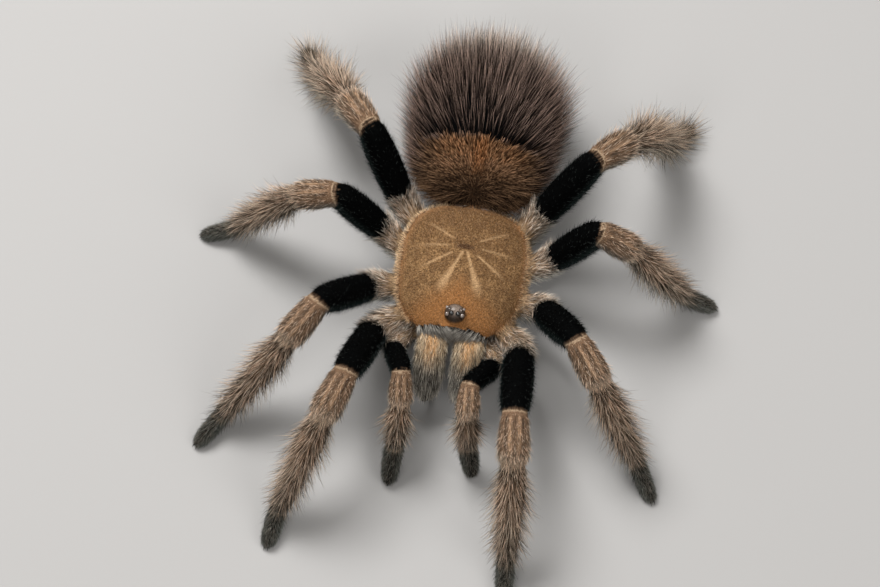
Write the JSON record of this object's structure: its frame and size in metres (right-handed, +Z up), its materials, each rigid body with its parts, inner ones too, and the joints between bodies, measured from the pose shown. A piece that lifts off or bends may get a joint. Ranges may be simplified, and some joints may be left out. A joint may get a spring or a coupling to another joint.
{
  "type": "tarantula",
  "caption": "Still life-size tarantula standing with its legs spread; head, abdomen, jaws, fangs, eyes, feelers and every leg segment are solids of their own.",
  "frame": {"origin": "centre of the footprint, on the floor under the spider", "axes": "+Z up; the spider faces -Y and its left side is +X"},
  "size_m": [0.086, 0.0964, 0.0257],
  "materials": {
    "skin": "grey-brown hairy skin at the hips, matt",
    "head_shield": "short golden-brown velvet with paler rays, matt",
    "abdomen": "black velvet under long brown hairs, rusty patch in front",
    "velvet": "deep black velvet",
    "shin": "long grey-brown hair with peach stripes on the knees",
    "foot": "dense short blue-grey pad hair",
    "jaw": "golden hair on top, grey at the sides",
    "fang": "polished black horn",
    "eye": "glossy black lens"
  },
  "bodies": {
    "root": {"abdomen": "abdomen", "eye_front_middle_left": "eye", "eye_front_middle_right": "eye", "eye_front_outer_left": "eye", "eye_front_outer_right": "eye", "eye_rear_middle_left": "eye", "eye_rear_middle_right": "eye", "eye_rear_outer_left": "eye", "eye_rear_outer_right": "eye", "fang_left": "fang", "fang_right": "fang", "head": "head_shield", "jaw_left": "jaw", "jaw_right": "jaw", "leg_1_left_base": "skin", "leg_1_left_femur": "velvet", "leg_1_left_foot": "foot", "leg_1_left_patella": "shin", "leg_1_left_tibia": "shin", "leg_1_right_base": "skin", "leg_1_right_femur": "velvet", "leg_1_right_foot": "foot", "leg_1_right_patella": "shin", "leg_1_right_tibia": "shin", "leg_2_left_base": "skin", "leg_2_left_femur": "velvet", "leg_2_left_foot": "foot", "leg_2_left_patella": "shin", "leg_2_left_tibia": "shin", "leg_2_right_base": "skin", "leg_2_right_femur": "velvet", "leg_2_right_foot": "foot", "leg_2_right_patella": "shin", "leg_2_right_tibia": "shin", "leg_3_left_base": "skin", "leg_3_left_femur": "velvet", "leg_3_left_foot": "foot", "leg_3_left_patella": "shin", "leg_3_left_tibia": "shin", "leg_3_right_base": "skin", "leg_3_right_femur": "velvet", "leg_3_right_foot": "foot", "leg_3_right_patella": "shin", "leg_3_right_tibia": "shin", "leg_4_left_base": "skin", "leg_4_left_femur": "velvet", "leg_4_left_foot": "foot", "leg_4_left_patella": "shin", "leg_4_left_tibia": "shin", "leg_4_right_base": "skin", "leg_4_right_femur": "velvet", "leg_4_right_foot": "foot", "leg_4_right_patella": "shin", "leg_4_right_tibia": "shin", "palp_left_foot": "foot", "palp_left_shin": "shin", "palp_left_thigh": "velvet", "palp_right_foot": "foot", "palp_right_shin": "shin", "palp_right_thigh": "velvet"}
  },
  "joints": []
}
